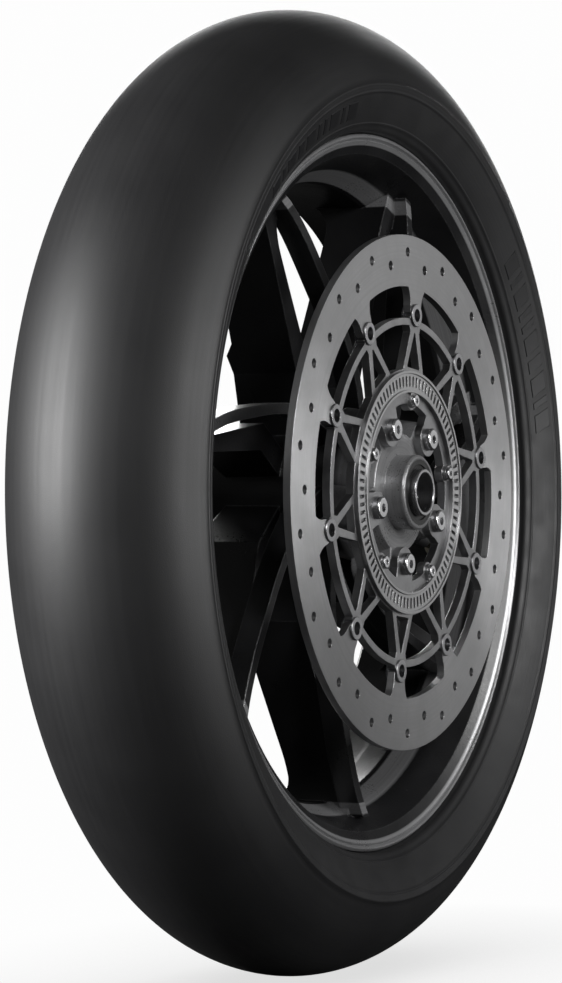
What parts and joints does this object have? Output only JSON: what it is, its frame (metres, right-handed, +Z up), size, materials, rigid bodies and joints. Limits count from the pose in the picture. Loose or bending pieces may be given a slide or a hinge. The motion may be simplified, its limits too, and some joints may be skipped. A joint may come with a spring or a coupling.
{
  "type": "motorcycle front wheel with slick tyre",
  "caption": "Motorcycle front wheel: slick tyre on a cast alloy wheel with braced spokes, a floating drilled brake disc, sensor ring and sealed axle bearings.",
  "frame": {"origin": "centre of the wheel, on the axle's axis and the middle plane of the rim", "axes": "+Y along the axle away from the brake disc, +Z up, brake disc on the -Y side"},
  "size_m": [0.6229, 0.154, 0.623],
  "materials": {
    "tyre_rubber": "matte",
    "wheel_paint": "satin black paint on cast alloy",
    "disc_steel": "ground",
    "carrier_alloy": "grey anodised",
    "bobbin_steel": "satin",
    "spring_steel": "satin",
    "bolt_steel": "zinc plated",
    "sensor_steel": "satin",
    "bearing_steel": "ground",
    "cage_brass": "satin",
    "collar_alloy": "turned",
    "seal_rubber": "matte",
    "valve_brass": "nickel plated",
    "cap_plastic": "matte",
    "weight_zinc": "dull"
  },
  "bodies": {
    "axle_set": {"spacer_tube": "collar_alloy", "inner_race_disc_side": "bearing_steel", "inner_race_far_side": "bearing_steel", "axle_collar_disc_side": "collar_alloy", "axle_collar_far_side": "collar_alloy"},
    "wheel_body": {"wheel": "wheel_paint", "tyre": "tyre_rubber", "disc_carrier": "carrier_alloy", "disc_bobbins": "bobbin_steel", "bobbin_washers": "spring_steel", "bobbin_clips": "spring_steel", "disc_bolts": "bolt_steel", "sensor_ring": "sensor_steel", "ring_screws": "bolt_steel", "outer_race_disc_side": "bearing_steel", "outer_race_far_side": "bearing_steel", "dust_seal_disc_side": "seal_rubber", "dust_seal_far_side": "seal_rubber", "valve_stem": "valve_brass", "valve_grommet": "seal_rubber", "valve_nut": "valve_brass", "valve_core": "valve_brass", "balance_weights": "weight_zinc"},
    "disc": {"brake_disc": "disc_steel"},
    "ball_set_disc_side": {"bearing_balls_disc_side": "bearing_steel", "ball_cage_disc_side": "cage_brass"},
    "ball_set_far_side": {"bearing_balls_far_side": "bearing_steel", "ball_cage_far_side": "cage_brass"},
    "valve_plunger": {"valve_pin": "valve_brass"},
    "cap": {"valve_cap": "cap_plastic"}
  },
  "joints": [
    {"name": "wheel_spin", "type": "hinge", "parent": "axle_set", "child": "wheel_body", "pos_m": [0, 0, 0], "axis": [0, 1, 0], "continuous": true},
    {"name": "balls_disc_side_spin", "type": "hinge", "parent": "axle_set", "child": "ball_set_disc_side", "pos_m": [0, 0, 0], "axis": [0, 1, 0], "continuous": true},
    {"name": "balls_far_side_spin", "type": "hinge", "parent": "axle_set", "child": "ball_set_far_side", "pos_m": [0, 0, 0], "axis": [0, 1, 0], "continuous": true},
    {"name": "disc_float", "type": "slide", "parent": "wheel_body", "child": "disc", "axis": [0, -1, 0], "range_m": [-0.00015, 0.00015]},
    {"name": "valve_press", "type": "slide", "parent": "wheel_body", "child": "valve_plunger", "axis": [0.9829, 0, -0.1839], "range_m": [0, 0.0012]},
    {"name": "cap_off", "type": "slide", "parent": "wheel_body", "child": "cap", "axis": [-0.9829, 0, 0.1839], "range_m": [0, 0.02]}
  ],
  "couplings": [
    {"joint": "balls_disc_side_spin", "follows": "wheel_spin", "ratio": 0.571},
    {"joint": "balls_far_side_spin", "follows": "wheel_spin", "ratio": 0.571}
  ]
}
